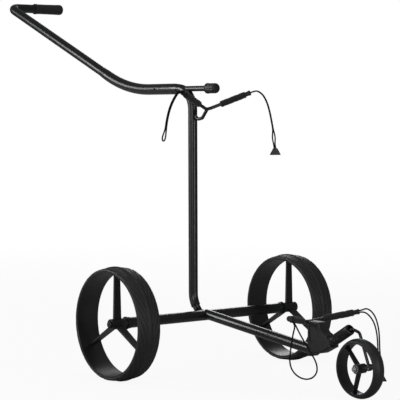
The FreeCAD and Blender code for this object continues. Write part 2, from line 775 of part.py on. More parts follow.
def front_bearings():
    centre = yz(hub_y, front_radius)
    return group([rod(centre + X_AXIS * side * (front_hub_half - front_bearing_width),
                      centre + X_AXIS * side * front_hub_half, front_bearing_radius,
                      front_bolt_radius + running) for side in (-1, 1)])


def front_axle_bolt():
    head_x = fork_side + fork_eye_width / 2 + 0.1
    shank = rod(V(-front_hub_half - 9.5, hub_y, front_radius), V(head_x, hub_y, front_radius),
                front_bolt_radius)
    return fused([shank, hexagon(V(head_x, hub_y, front_radius), X_AXIS, 13.0, 5.0)])


def front_axle_nut():
    start = V(-front_hub_half - apart, hub_y, front_radius)
    nut = hexagon(start, V(-1, 0, 0), 13.0, 6.2)
    return nut.cut(rod(start - X_AXIS * 20, start + X_AXIS * 20, front_bolt_radius + seat))


def front_spacer():
    return rod(V(front_hub_half + apart, hub_y, front_radius),
               V(fork_side - fork_eye_width / 2 - 0.1, hub_y, front_radius),
               front_bolt_radius + 2.5, front_bolt_radius + seat)


# ---------------------------------------------------------------- elastic cords and toggles
# Each cord is one length of round elastic with both ends in an arm's cap. It
# hangs in an upright plane; the pairs are the corners of its route, outward
# and upward from the middle of the cap's mouth.
# A third number moves the corner sideways out of that plane.
beside = strand_gap / 2
upper_right_plane = (0.914, -0.405)
upper_right_corners = [
    (20.5, 5.8, beside), (36.0, -5.4, beside), (46.3, -24.0, beside), (53.7, -48.0, beside),
    (59.3, -75.0, beside), (63.4, -98.0, beside), (67.5, -110.0, beside / 2), (69.4, -122.0, 0),
    (68.2, -134.0, 0), (70.4, -146.0, 0), (73.4, -154.0, 0), (73.4, -160.0, 0), (65.0, -160.0, 0),
    (65.0, -154.0, 0), (66.7, -146.0, 0), (64.4, -134.0, 0), (61.4, -121.0, 0), (61.9, -109.0, -beside / 2),
    (63.4, -98.0, -beside), (59.3, -75.0, -beside), (53.7, -48.0, -beside), (46.3, -24.0, -beside),
    (36.0, -5.4, -beside), (20.5, 5.8, -beside)]
lower_right_plane = (0.878, -0.479)
lower_right_corners = [
    (19.0, 7.6), (31.5, 0.3), (41.0, -12.7), (47.2, -30.5), (51.0, -50.5), (52.2, -71.0),
    (52.8, -93.0), (54.6, -115.0), (57.4, -136.0), (57.9, -148.0), (58.0, -157.0), (60.3, -165.0),
    (60.3, -171.0), (51.9, -171.0), (51.9, -165.0), (54.2, -157.0), (53.6, -148.0), (51.8, -136.0),
    (49.2, -115.0), (48.2, -93.0), (47.4, -72.0), (45.0, -52.0), (40.0, -32.5), (31.6, -16.6),
    (19.6, -4.2)]
upper_left_plane = (-0.989, -0.148)
upper_left_corners = [
    (18.8, 1.2), (30.2, -11.4), (42.0, -27.2), (52.1, -47.4), (59.8, -71.3), (63.9, -93.0),
    (69.6, -103.5), (75.4, -114.5), (73.0, -123.5), (65.5, -121.0), (62.2, -110.5), (60.2, -95.0),
    (56.1, -72.2), (48.7, -48.8), (38.8, -29.5), (27.4, -14.4), (17.6, -2.8)]
lower_left_plane = (0.785, -0.620)
lower_left_corners = [
    (5.8, -15.0), (2.4, -27.5), (-0.4, -43.0), (-3.2, -62.0), (-5.6, -80.0), (-6.3, -96.5),
    (-3.0, -112.0), (5.5, -125.5), (19.0, -135.5), (34.5, -139.5), (48.5, -135.5), (57.5, -125.0),
    (59.6, -112.0), (56.0, -97.0), (47.6, -81.0), (37.6, -64.5), (28.5, -49.0), (19.0, -32.0),
    (10.8, -15.5)]


def cord_route(mouth, strands, lead, plane, corners):
    """Full list of route points; both strands leave the cap square to its face."""
    first, last = [mouth + strands * side * (strand_gap / 2) for side in (1, -1)]
    along = V(plane[0], plane[1], 0)
    normal = along.cross(V(0, 0, 1))
    middle = []
    for out, up, *aside in corners:
        middle.append(mouth + along * out + V(0, 0, up) + normal * (aside[0] if aside else 0))
    return [first, first + lead * 8] + middle + [last + lead * 8, last]


def toggle(mouth, plane, middle, base, path):
    """Three-sided hook at the foot of a cord, with the channel the cord is folded in."""
    centre = mouth + V(plane[0] * middle, plane[1] * middle, base)
    along = V(plane[0], plane[1], 0)
    normal = along.cross(V(0, 0, 1))
    corners = [centre - along * toggle_base / 2, centre + along * toggle_base / 2,
               centre + along * toggle_top / 2 + V(0, 0, toggle_height),
               centre - along * toggle_top / 2 + V(0, 0, toggle_height)]
    corners = [point - normal * toggle_thick / 2 for point in corners]
    body = Part.Face(Part.makePolygon(corners + corners[:1])).extrude(normal * toggle_thick)
    body = body.makeFillet(1.2, body.Edges)
    return body.cut(sweep(path, cord_radius + running))


def cord(route, name):
    path, radii = tangent_path(route)
    tube = sweep(path, cord_radius)
    expected = math.pi * cord_radius ** 2 * path.Length
    print("%s: length %.0f mm, volume %.4f of section x length, radii %s" % (
        name, path.Length, tube.Volume / expected, " ".join("%.0f" % radius for radius in radii)))
    return path, tube


def save_cords():
    for side, crotch, tip, plane, corners, hook in (
            ("upper_right", upper_crotch, upper_tip, upper_right_plane, upper_right_corners, (69.3, -164.3)),
            ("lower_right", lower_crotch, lower_tip, lower_right_plane, lower_right_corners, (56.2, -175.0)),
            ("upper_left", upper_crotch, upper_tip, upper_left_plane, upper_left_corners, None)):
        mouth, axis, over = cap_frame(crotch, tip)
        strands = axis.cross(V(0, 0, 1)).normalize() if len(corners[0]) > 2 else over
        if side.endswith("left"):
            mouth, axis, strands = [V(-vector.x, vector.y, vector.z) for vector in (mouth, axis, strands)]
        path, tube = cord(cord_route(mouth, strands, axis, plane, corners), side + "_cord")
        save(tube, side + "_cord")
        if hook:
            save(toggle(mouth, plane, hook[0], hook[1], path), side + "_toggle")
    foot, down = side_mouth_line(lower_crotch, lower_tip)
    _, axis, _ = cap_frame(lower_crotch, lower_tip)
    strands = (axis - down * axis.dot(down)).normalize()
    mouth = foot + down * side_mouth_reach
    mouth, down, strands = [V(-vector.x, vector.y, vector.z) for vector in (mouth, down, strands)]
    route = cord_route(mouth, strands, down, lower_left_plane, lower_left_corners)
    save(cord(route, "lower_left_cord")[1], "lower_left_cord")


# ---------------------------------------------------------------- build
def main():
    os.makedirs("parts", exist_ok=True)
    for side in ("right", "left"):
        wheel = V(track / 2, 0, 0)
        for name, shape in (("tyre", rear_tyre()), ("rim", rear_rim()), ("hub_bearings", rear_bearings()),
                            ("button_guide", button_guide()), ("release_button", release_button())):
            shape.translate(wheel)
            save(shape if side == "right" else mirrored(shape), side + "_" + name)
        for name, shape in (("axle_socket", axle_socket()), ("axle_collar", axle_collar()),
                            ("stub_axle", stub_axle())):
            save(shape if side == "right" else mirrored(shape), side + "_" + name)

    save(axle_tube(), "axle_tube")
    save(front_tube().cut(Part.makeCompound(screw_holes(junction_screw_y, -1))), "front_tube")
    save(group(tube_screws(junction_screw_y, front_tube_radius, -1)), "junction_screws")
    save(hinge_bracket(), "hinge_bracket")
    save(hinge_bolt(), "hinge_bolt")
    save(hinge_nut(), "hinge_nut")

    mast = mast_tube()
    save(mast, "mast_tube")
    save(mast_foot(), "mast_foot")
    save(draw_bolt_guide(), "draw_bolt_guide")
    save(clamp_knob(), "clamp_knob")
    save(draw_bolt(), "draw_bolt")
    save(expander_wedge(), "expander_wedge")
    save(handle_elbow(), "handle_elbow")
    save(elbow_screw(), "elbow_screw")
    save(handle_tube(), "handle_tube")
    save(grip(), "grip")

    casting = front_casting()
    save(casting, "front_casting")
    save(tracking_sleeve(), "tracking_sleeve")
    save(fork_rod(), "fork_rod")
    save(front_tyre(), "front_tyre")
    save(front_rim(), "front_rim")
    save(front_bearings(), "front_bearings")
    save(front_axle_bolt(), "front_axle_bolt")
    save(front_axle_nut(), "front_axle_nut")
    save(front_spacer(), "front_spacer")

    for level, crotch, tip, stem, blocks in (
            ("upper", upper_crotch, upper_tip, upper_stem, [mast]),
            ("lower", lower_crotch, lower_tip, lower_stem, [casting])):
        vee = cradle_rod(crotch, tip)
        save(vee, level + "_cradle_rod")
        save(cradle_stem(stem, blocks + [vee]), level + "_cradle_stem")
        pad = cradle_pad(crotch, tip)
        save(pad, level + "_right_pad")
        save(mirrored(pad), level + "_left_pad")
        cap = end_cap(crotch, tip)
        save(cap, level + "_right_end_cap")
        save(mirrored(end_cap(crotch, tip, side_mouth=level == "lower")), level + "_left_end_cap")
    save_cords()


main()
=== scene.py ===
import json
import math

import bpy
from mathutils import Matrix, Vector


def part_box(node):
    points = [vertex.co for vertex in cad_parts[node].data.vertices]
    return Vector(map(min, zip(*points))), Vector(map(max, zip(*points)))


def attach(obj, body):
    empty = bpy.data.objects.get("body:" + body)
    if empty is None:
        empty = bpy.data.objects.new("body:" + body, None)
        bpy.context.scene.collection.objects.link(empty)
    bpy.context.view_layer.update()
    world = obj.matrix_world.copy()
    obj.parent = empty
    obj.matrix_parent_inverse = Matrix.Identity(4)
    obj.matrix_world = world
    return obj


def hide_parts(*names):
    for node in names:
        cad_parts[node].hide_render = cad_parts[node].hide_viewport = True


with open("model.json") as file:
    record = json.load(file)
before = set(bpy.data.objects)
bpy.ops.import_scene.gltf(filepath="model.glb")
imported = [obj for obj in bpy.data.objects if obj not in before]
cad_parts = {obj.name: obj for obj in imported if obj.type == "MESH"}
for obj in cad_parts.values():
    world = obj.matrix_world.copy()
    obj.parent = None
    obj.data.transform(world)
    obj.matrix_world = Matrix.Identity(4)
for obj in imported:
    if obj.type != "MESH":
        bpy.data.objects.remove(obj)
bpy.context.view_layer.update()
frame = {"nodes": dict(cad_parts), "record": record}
print("frame loaded:", len(frame["nodes"]), "nodes")

# Camera.
cameraSet = {
    "place": (-2.7693, -3.6389, 0.6842),
    "turn": -38.288,      # heading, degrees from straight along +Y
    "dip": 3.037,         # degrees below level
    "roll": -0.188,
    "lens": 153.0,
    "sensor": 36.0,
}


def addCamera():
    heading = math.radians(cameraSet["turn"])
    dip = math.radians(cameraSet["dip"])
    roll = math.radians(cameraSet["roll"])
    look = Vector((-math.sin(heading) * math.cos(dip), math.cos(heading) * math.cos(dip), -math.sin(dip)))
    level = Vector((math.cos(heading), math.sin(heading), 0))
    rise = level.cross(look)
    right = level * math.cos(roll) + rise * math.sin(roll)
    up = rise * math.cos(roll) - level * math.sin(roll)
    data = bpy.data.cameras.new("camera")
    data.lens = cameraSet["lens"]
    data.sensor_width = cameraSet["sensor"]
    data.clip_end = 100
    camera = bpy.data.objects.new("camera", data)
    columns = Matrix((right, up, -look)).transposed()
    camera.matrix_world = Matrix.Translation(cameraSet["place"]) @ columns.to_4x4()
    bpy.context.scene.collection.objects.link(camera)
    bpy.context.scene.camera = camera


addCamera()
print("camera placed")

# Materials.


def linearColour(hexText):
    # An sRGB hex colour as linear red, green, blue and full alpha.
    channels = [int(hexText[i:i + 2], 16) / 255 for i in (1, 3, 5)]
    return tuple(c / 12.92 if c <= 0.04045 else ((c + 0.055) / 1.055) ** 2.4 for c in channels) + (1.0,)


def addNode(tree, kind, values=None, **settings):
    node = tree.nodes.new(kind)
    for name, value in settings.items():
        setattr(node, name, value)
    for socket, value in (values or {}).items():
        node.inputs[socket].default_value = value
    return node


def surface(name, colour, roughness, grainSize, grainDepth, mottle=0.25, metallic=0.0, coat=0.0,
            sheen=0.0, pores=False, ior=1.5):
    # A finish whose grain has a real size in metres: mottled colour, uneven gloss and a fine bump.
    material = bpy.data.materials.new(name)
    material.use_nodes = True
    tree = material.node_tree
    tree.nodes.clear()
    place = addNode(tree, "ShaderNodeTexCoord")
    cloud = addNode(tree, "ShaderNodeTexNoise", {"Scale": 14.0, "Detail": 4.0, "Roughness": 0.55})
    grain = addNode(tree, "ShaderNodeTexVoronoi" if pores else "ShaderNodeTexNoise",
                    {"Scale": 1.0 / grainSize})
    base = linearColour(colour)
    lifted = tuple(min(1.0, c * (1 + mottle)) for c in base[:3]) + (1.0,)
    lowered = tuple(c * (1 - mottle) for c in base[:3]) + (1.0,)
    tint = addNode(tree, "ShaderNodeMix", data_type="RGBA")
    tint.inputs[6].default_value = lowered
    tint.inputs[7].default_value = lifted
    gloss = addNode(tree, "ShaderNodeMapRange", {"To Min": roughness - 0.05, "To Max": roughness + 0.06})
    bump = addNode(tree, "ShaderNodeBump", {"Strength": 0.6, "Distance": grainDepth})
    shader = addNode(tree, "ShaderNodeBsdfPrincipled",
                     {"Metallic": metallic, "Coat Weight": coat, "Coat Roughness": 0.25,
                      "Sheen Weight": sheen, "IOR": ior})
    out = addNode(tree, "ShaderNodeOutputMaterial")
    link = tree.links.new
    link(place.outputs["Object"], cloud.inputs["Vector"])
    link(place.outputs["Object"], grain.inputs["Vector"])
    link(cloud.outputs[0], tint.inputs[0])
    link(cloud.outputs[0], gloss.inputs["Value"])
    link(grain.outputs[0], bump.inputs["Height"])
    link(tint.outputs[2], shader.inputs["Base Color"])
    link(gloss.outputs[0], shader.inputs["Roughness"])
    link(bump.outputs[0], shader.inputs["Normal"])
    link(shader.outputs[0], out.inputs[0])
    return material


finishes = {
    "tube_paint": surface("blackPowderCoat", "#0c0c0d", 0.30, 0.0022, 0.000004, mottle=0.1, coat=0.2),
    "wire_paint": surface("blackWirePaint", "#0c0c0d", 0.34, 0.0015, 0.000005, mottle=0.1, coat=0.2),
    "rim_plastic": surface("mouldedRimPlastic", "#1b1b1c", 0.40, 0.0009, 0.000006, mottle=0.15),
    "tyre_rubber": surface("tyreRubber", "#1c1c1c", 0.52, 0.0012, 0.00003, mottle=0.25),
    "front_tyre_rubber": surface("smoothTyreRubber", "#1b1b1c", 0.50, 0.0012, 0.00003, mottle=0.25),
    "casting_plastic": surface("grainedCasting", "#1c1c1d", 0.48, 0.0007, 0.00004),
    "sleeve_plastic": surface("sleevePlastic", "#0c0c0d", 0.42, 0.0008, 0.00005),
    "knob_plastic": surface("knobPlastic", "#131314", 0.42, 0.0009, 0.00005),
    "button_plastic": surface("buttonPlastic", "#1b1b1c", 0.30, 0.0009, 0.00003),
    "pad_foam": surface("padFoam", "#1c1c1d", 0.85, 0.0011, 0.00025, sheen=0.12, pores=True),
    "grip_foam": surface("gripFoam", "#1d1d1e", 0.80, 0.0010, 0.00020, sheen=0.1, pores=True),
    "cord_elastic": surface("braidedElastic", "#0d0d0e", 0.80, 0.0008, 0.00020, pores=True, ior=1.3),
    "cap_plastic": surface("capPlastic", "#0d0d0d", 0.42, 0.0008, 0.00004),
    "bright_steel": surface("zincPlatedSteel", "#c9c9c6", 0.28, 0.0010, 0.00003, mottle=0.08, metallic=1.0),
    "dark_steel": surface("blackenedSteel", "#1d1d1e", 0.36, 0.0010, 0.00003, metallic=0.6),
}
slotOf = {part["node"]: part["material_slot"] for part in frame["record"]["subparts"]}
for node, body in frame["nodes"].items():
    body.data.materials.clear()
    body.data.materials.append(finishes[slotOf[node]])
    body.data.shade_smooth()
    body.data.set_sharp_from_angle(angle=math.radians(32))
print("materials made:", len(finishes))

# Helpers for the shown pieces.


def addPiece(name, mesh, slot, body, nodes=()):
    piece = bpy.data.objects.new(name, mesh)
    bpy.context.scene.collection.objects.link(piece)
    mesh.materials.clear()
    mesh.materials.append(finishes[slot])
    for face in mesh.polygons:
        face.use_smooth = True
    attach(piece, body)
    if nodes:
        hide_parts(*nodes)
    return piece


def gridMesh(name, rows, closeRows=False, closeColumns=False):
    # Faces between rows of points.
    height, width = len(rows), len(rows[0])
    points = [point for row in rows for point in row]
    faces = []
    for i in range(height if closeRows else height - 1):
        for j in range(width if closeColumns else width - 1):
            a, b = i * width + j, i * width + (j + 1) % width
            c, d = ((i + 1) % height) * width + (j + 1) % width, ((i + 1) % height) * width + j
            faces.append((a, b, c, d))
    mesh = bpy.data.meshes.new(name)
    mesh.from_pydata(points, [], faces)
    mesh.validate()
    mesh.update()
    return mesh


def ringGroup():
    # Geometry nodes that repeat a piece round its own X axis and weld the seams.
    group = bpy.data.node_groups.new("ringOfCopies", "GeometryNodeTree")
    face = group.interface
    face.new_socket("Geometry", in_out="INPUT", socket_type="NodeSocketGeometry")
    face.new_socket("Count", in_out="INPUT", socket_type="NodeSocketInt")
    face.new_socket("Weld Distance", in_out="INPUT", socket_type="NodeSocketFloat")
    face.new_socket("Material", in_out="INPUT", socket_type="NodeSocketMaterial")
    face.new_socket("Geometry", in_out="OUTPUT", socket_type="NodeSocketGeometry")
    entry = addNode(group, "NodeGroupInput")
    leave = addNode(group, "NodeGroupOutput")
    line = addNode(group, "GeometryNodeMeshLine", {"Offset": (0, 0, 0)})
    index = addNode(group, "GeometryNodeInputIndex")
    share = addNode(group, "ShaderNodeMath", operation="DIVIDE")
    angle = addNode(group, "ShaderNodeMath", {1: 2 * math.pi}, operation="MULTIPLY")
    turn = addNode(group, "ShaderNodeCombineXYZ")
    copies = addNode(group, "GeometryNodeInstanceOnPoints")
    solid = addNode(group, "GeometryNodeRealizeInstances")
    weld = addNode(group, "GeometryNodeMergeByDistance")
    paint = addNode(group, "GeometryNodeSetMaterial")
    link = group.links.new
    link(entry.outputs["Count"], line.inputs["Count"])
    link(index.outputs[0], share.inputs[0])
    link(entry.outputs["Count"], share.inputs[1])
    link(share.outputs[0], angle.inputs[0])
    link(angle.outputs[0], turn.inputs[0])
    link(line.outputs[0], copies.inputs["Points"])
    link(entry.outputs["Geometry"], copies.inputs["Instance"])
    link(turn.outputs[0], copies.inputs["Rotation"])
    link(copies.outputs[0], solid.inputs[0])
    link(solid.outputs[0], weld.inputs["Geometry"])
    link(entry.outputs["Weld Distance"], weld.inputs["Distance"])
    link(weld.outputs[0], paint.inputs["Geometry"])
    link(entry.outputs["Material"], paint.inputs["Material"])
    link(paint.outputs[0], leave.inputs[0])
    return group


rings = ringGroup()
seamWeld = 0.00002       # slices closer than this are joined


def repeatRound(name, mesh, count, weld, slot):
    # The ring of copies as one plain mesh.
    source = bpy.data.objects.new(name + "Source", mesh)
    bpy.context.scene.collection.objects.link(source)
    modifier = source.modifiers.new("ring", "NODES")
    modifier.node_group = rings
    names = {item.name: item.identifier for item in rings.interface.items_tree
             if item.in_out == "INPUT"}
    modifier[names["Count"]] = count
    modifier[names["Weld Distance"]] = weld
    modifier[names["Material"]] = finishes[slot]
    source.update_tag()
    graph = bpy.context.evaluated_depsgraph_get()
    result = bpy.data.meshes.new_from_object(source.evaluated_get(graph))
    result.name = name
    bpy.data.objects.remove(source)
    return result


def centreOf(node):
    low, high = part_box(node)
    return (low + high) / 2


# Rear tyres.
tyreSet = {
    "innerRadius": 0.13405,
    "crown": 0.1432,
    "shoulder": 0.1398,
    "halfWidth": 0.0328,
    "edgeRound": 0.0035,
    "rib": 0.0020,
    "ribHalf": 0.0040,
    "grooves": 26,
    "sweep": 0.085,        # how far a groove runs round the tyre from rib to shoulder
    "grooveHalf": 0.0034,
    "grooveDepth": 0.0017,
    "ends": (0.0064, 0.0310),
    "sweepBend": 0.75,     # under 1 the groove turns away from the rib at once
    "stepsRound": 26,
    "stepsAcross": 64,
}


def smooth(low, high, value):
    t = min(1.0, max(0.0, (value - low) / (high - low)))
    return t * t * (3 - 2 * t)


def treadRadius(across, along, pitch):
    # Radius of the tyre's tread at a place across it and along its circumference.
    t = tyreSet
    size = abs(across) / t["halfWidth"]
    radius = t["crown"] - (t["crown"] - t["shoulder"]) * size ** 2.2
    edge = abs(across) - (t["halfWidth"] - t["edgeRound"])
    if edge > 0:
        drop = t["edgeRound"] - math.sqrt(max(0.0, t["edgeRound"] ** 2 - edge ** 2))
        radius -= drop
    radius += t["rib"] * (1 - smooth(t["ribHalf"] - 0.0006, t["ribHalf"] + 0.0010, abs(across)))
    start, stop = t["ends"]
    run = (abs(across) - start) / (stop - start)
    shift = t["sweep"] * max(0.0, run) ** t["sweepBend"]
    phase = ((along - shift) / pitch) % 1.0
    off = min(phase, 1 - phase) * pitch
    groove = 1 - smooth(t["grooveHalf"] * 0.5, t["grooveHalf"] * 1.3, off * 0.8)
    inside = smooth(start - 0.0010, start + 0.0010, abs(across)) * (
        1 - smooth(stop - 0.0010, stop + 0.0015, abs(across)))
    return radius - t["grooveDepth"] * groove * inside


def tyreMesh(name):
    t = tyreSet
    turn = 2 * math.pi / t["grooves"]
    pitch = turn * t["crown"]
    rows = []
    for i in range(t["stepsRound"] + 1):
        angle = turn * i / t["stepsRound"]
        row = []
        across = [-t["halfWidth"] + 2 * t["halfWidth"] * j / t["stepsAcross"]
                  for j in range(t["stepsAcross"] + 1)]
        row.append((-t["halfWidth"], t["innerRadius"]))
        row += [(x, treadRadius(x, angle / turn * pitch, pitch)) for x in across]
        row.append((t["halfWidth"], t["innerRadius"]))
        rows.append([(x, r * math.sin(angle), r * math.cos(angle)) for x, r in row])
    segment = gridMesh(name + "Segment", rows, closeColumns=True)
    return repeatRound(name, segment, t["grooves"], seamWeld, "tyre_rubber")


for side in ("left", "right"):
    mesh = tyreMesh(side + "TyreTread")
    mesh.transform(Matrix.Translation(centreOf(side + "_tyre")))
    addPiece(side + "TyreTread", mesh, "tyre_rubber", side + "_wheel", [side + "_tyre"])
print("rear tyres made")

# Foam pads.
padSet = {
    "radius": 0.0083,
    "bore": 0.0046,
    "round": 0.0030,
    "steps": 40,
    "around": 36,
    "swell": 0.0004,
    "seed": 4,
    "from": 0.33,          # share of the arm's length where the foam starts
    "short": 0.006,        # how far the foam ends before the rod's tip
}


def noiseAt(seed, a, b):
    return (math.sin(seed * 1.7 + a * 9.1 + b * 3.3) + math.sin(seed * 2.9 + a * 17.3 - b * 5.1)) / 2


def padMesh(name, start, end, seed):
    # A soft sleeve: rounded ends, a slightly uneven wall and a bore for the rod.
    p = padSet
    axis = end - start
    length = axis.length
    turn = axis.to_track_quat("Z", "Y").to_matrix().to_4x4()
    rows = []
    for i in range(p["steps"] + 1):
        z = length * i / p["steps"]
        edge = min(z, length - z)
        cut = 0.0 if edge >= p["round"] else p["round"] - math.sqrt(
            max(0.0, p["round"] ** 2 - (p["round"] - edge) ** 2))
        row = []
        for j in range(p["around"]):
            angle = 2 * math.pi * j / p["around"]
            radius = p["radius"] - cut + p["swell"] * noiseAt(seed, z / length * 2, angle / 3) * (
                smooth(0, p["round"], edge))
            row.append((radius * math.cos(angle), radius * math.sin(angle), z))
        rows.append(row)
    bore = [[(p["bore"] * math.cos(2 * math.pi * j / p["around"]),
              p["bore"] * math.sin(2 * math.pi * j / p["around"]), z) for j in range(p["around"])]
            for z in (length, 0.0)]
    mesh = gridMesh(name, rows + bore, closeRows=True, closeColumns=True)
    mesh.transform(Matrix.Translation(start) @ turn)
    return mesh


cradles = {
    "upper": {"crotch": Vector((0, -0.1614, 0.6845)), "tip": Vector((0.1060, -0.2004, 0.7260)),
              "body": "mast"},
    "lower": {"crotch": Vector((0, -0.5524, 0.1655)), "tip": Vector((0.1080, -0.6124, 0.1865)),
              "body": "frame"},
}
for level, cradle in cradles.items():
    for side, sign in (("left", -1), ("right", 1)):
        crotch, tip = cradle["crotch"], cradle["tip"].copy()
        tip.x *= sign
        arm = tip - crotch
        start = crotch + arm * padSet["from"]
        end = tip - arm.normalized() * padSet["short"]
        name = level + side.capitalize() + "Foam"
        mesh = padMesh(name, start, end, padSet["seed"] + len(level) * sign)
        pad = addPiece(name, mesh, "pad_foam", cradle["body"], ["%s_%s_pad" % (level, side)])
print("foam pads made")


# Pieces turned on their own axis: the same slice repeated round it.
def sliceMesh(name, profile, count, steps, depth=0.0, share=0.5):
    # One slice about X from (along, radius, grooved) triples; the groove lies in its middle.
    turn = 2 * math.pi / count
    rows = []
    for i in range(steps + 1):
        place = abs(i / steps - 0.5) * 2
        dip = depth * (1 - smooth(share * 0.35, share, place))
        angle = turn * i / steps
        reach = [(x, radius - dip * grooved) for x, radius, grooved in profile]
        rows.append([(x, r * math.sin(angle), r * math.cos(angle)) for x, r in reach])
    return gridMesh(name, rows, closeColumns=True)


def turnedPiece(name, facts, slot, body, nodes):
    profile = [(x / 1000, radius / 1000, grooved) for x, radius, grooved in facts["profile"]]
    mesh = sliceMesh(name + "Slice", profile, facts["count"], facts["steps"],
                     facts.get("depth", 0) / 1000, facts.get("share", 0.5))
    mesh = repeatRound(name, mesh, facts["count"], seamWeld, slot)
    axis = Vector(facts["axis"]).normalized()
    place = Matrix.Translation(Vector(facts["place"]) / 1000)
    mesh.transform(place @ axis.to_track_quat("X", "Z").to_matrix().to_4x4())
    piece = addPiece(name, mesh, slot, body, nodes)
    mesh.set_sharp_from_angle(angle=math.radians(40))
    return piece


knobSet = {
    "place": (0, -164.25, 740.0), "axis": (0, -1, 0), "count": 16, "steps": 8, "depth": 0.7, "share": 0.75,
    "profile": [(23.0, 0, 0), (23.0, 4.1, 0), (0, 4.1, 0), (0, 12.9, 0), (0.3, 13.6, 0), (1.0, 14.0, 0),
                (3.2, 14.0, 0), (4.0, 13.5, 0), (4.6, 13.2, 0), (6.0, 13.2, 0.6), (7.4, 13.3, 1),
                (20, 13.3, 1), (32.5, 13.3, 1), (34.2, 13.1, 0.8), (35.6, 12.3, 0.4), (36.6, 11.0, 0),
                (37.0, 9.4, 0), (37.0, 0, 0)],
}
turnedPiece("clampKnob", knobSet, "knob_plastic", "knob", ["clamp_knob"])

sleeveRise = math.radians(30)
sleeveSet = {
    "place": (0, -645.4, 127.0), "axis": (0, -math.cos(sleeveRise), math.sin(sleeveRise)),
    "count": 24, "steps": 8, "depth": 0.9, "share": 0.7,
    "profile": [(0, 4.1, 0), (0, 14.7, 0), (0.5, 15.2, 0), (3.5, 15.2, 0), (4.0, 14.7, 0), (4.2, 13.5, 0),
                (4.9, 13.3, 0), (11.5, 13.3, 0), (12.4, 13.3, 0.8), (13.4, 13.3, 1), (48.5, 13.3, 1),
                (49.6, 13.3, 0.8), (50.5, 13.3, 0), (67.5, 13.3, 0), (69.2, 12.9, 0), (70.3, 12.0, 0),
                (70.9, 10.7, 0), (71.0, 9.2, 0), (58.0, 9.2, 0), (58.0, 4.1, 0)],
}
turnedPiece("knurledSleeve", sleeveSet, "sleeve_plastic", "sleeve", ["tracking_sleeve"])

frontTyreSet = {
    "place": (0, -738.9, 71.7), "axis": (1, 0, 0), "count": 36, "steps": 6, "depth": 0.25, "share": 0.4,
    "inner": 63.03, "radius": 71.7, "half": 16.5, "sag": 6.1, "lines": 5,
    "stations": 48, "edgeRound": 1.5, "edgeDrop": 0.6, "edgeTuck": 0.012, "lineHeight": 0.16,
}


def frontTyreProfile():
    # Round crown with shallow rings, soft edges and a bead on each flank.
    f = frontTyreSet
    points = [(-f["half"], f["inner"], 0), (-f["half"], f["inner"] + 0.9, 0),
              (-f["half"] + 0.2, f["inner"] + 1.3, 0)]
    for i in range(f["stations"] + 1):
        x = -f["half"] + 2 * f["half"] * i / f["stations"]
        radius = f["radius"] - f["sag"] * (x / f["half"]) ** 2
        edge = max(0.0, abs(x) - f["half"] + f["edgeRound"]) / f["edgeRound"]
        ring = f["lineHeight"] * max(0.0, math.cos(x / f["half"] * math.pi * f["lines"])) ** 6
        height = radius - f["edgeDrop"] * edge ** 2 - ring * (1 - edge)
        points.append((x * (1 - f["edgeTuck"] * edge), height, 0))
    points += [(-x, radius, grooved) for x, radius, grooved in reversed(points[:3])]
    return points


frontTyreSet["profile"] = frontTyreProfile()
turnedPiece("frontTyreSmooth", frontTyreSet, "front_tyre_rubber", "front_wheel", ["front_tyre"])
print("turned pieces made")

# Grip.
gripSet = {
    "start": (0.0835, 0.7946, 0.9950),
    "around": 48,
    "swell": 0.00022,
    "profile": [(0, 13.2), (0, 15.1), (0.4, 15.7), (1.4, 16.0), (5.0, 16.0), (7.4, 15.8), (8.2, 15.2),
                (8.8, 14.5),
                (9.6, 14.4), (10.6, 14.8), (14, 14.9), (22, 14.85), (32, 14.8), (42, 14.85), (52, 14.95),
                (62, 15.05), (72, 15.2), (80, 15.45), (88, 15.75), (91.5, 15.7), (94.5, 15.2), (97, 14.1),
                (99.0, 12.0), (100.1, 9.2), (100.5, 6.0), (100.5, 2.5), (100.5, 0.02), (95.7, 0.02),
                (95.7, 13.2)],
}


def gripMesh(name):
    g = gripSet
    rows = []
    for j in range(g["around"]):
        angle = 2 * math.pi * j / g["around"]
        row = []
        for i, (x, radius) in enumerate(g["profile"]):
            soft = g["swell"] * noiseAt(7, x / 30, angle / 3) if 10 < x < 95 and radius > 14 else 0
            r = radius / 1000 + soft
            row.append((x / 1000, r * math.sin(angle), r * math.cos(angle)))
        rows.append(row)
    mesh = gridMesh(name, rows, closeRows=True, closeColumns=True)
    mesh.transform(Matrix.Translation(g["start"]))
    return mesh


grip = addPiece("gripSleeve", gripMesh("gripSleeve"), "grip_foam", "handle", ["grip"])
print("grip made")

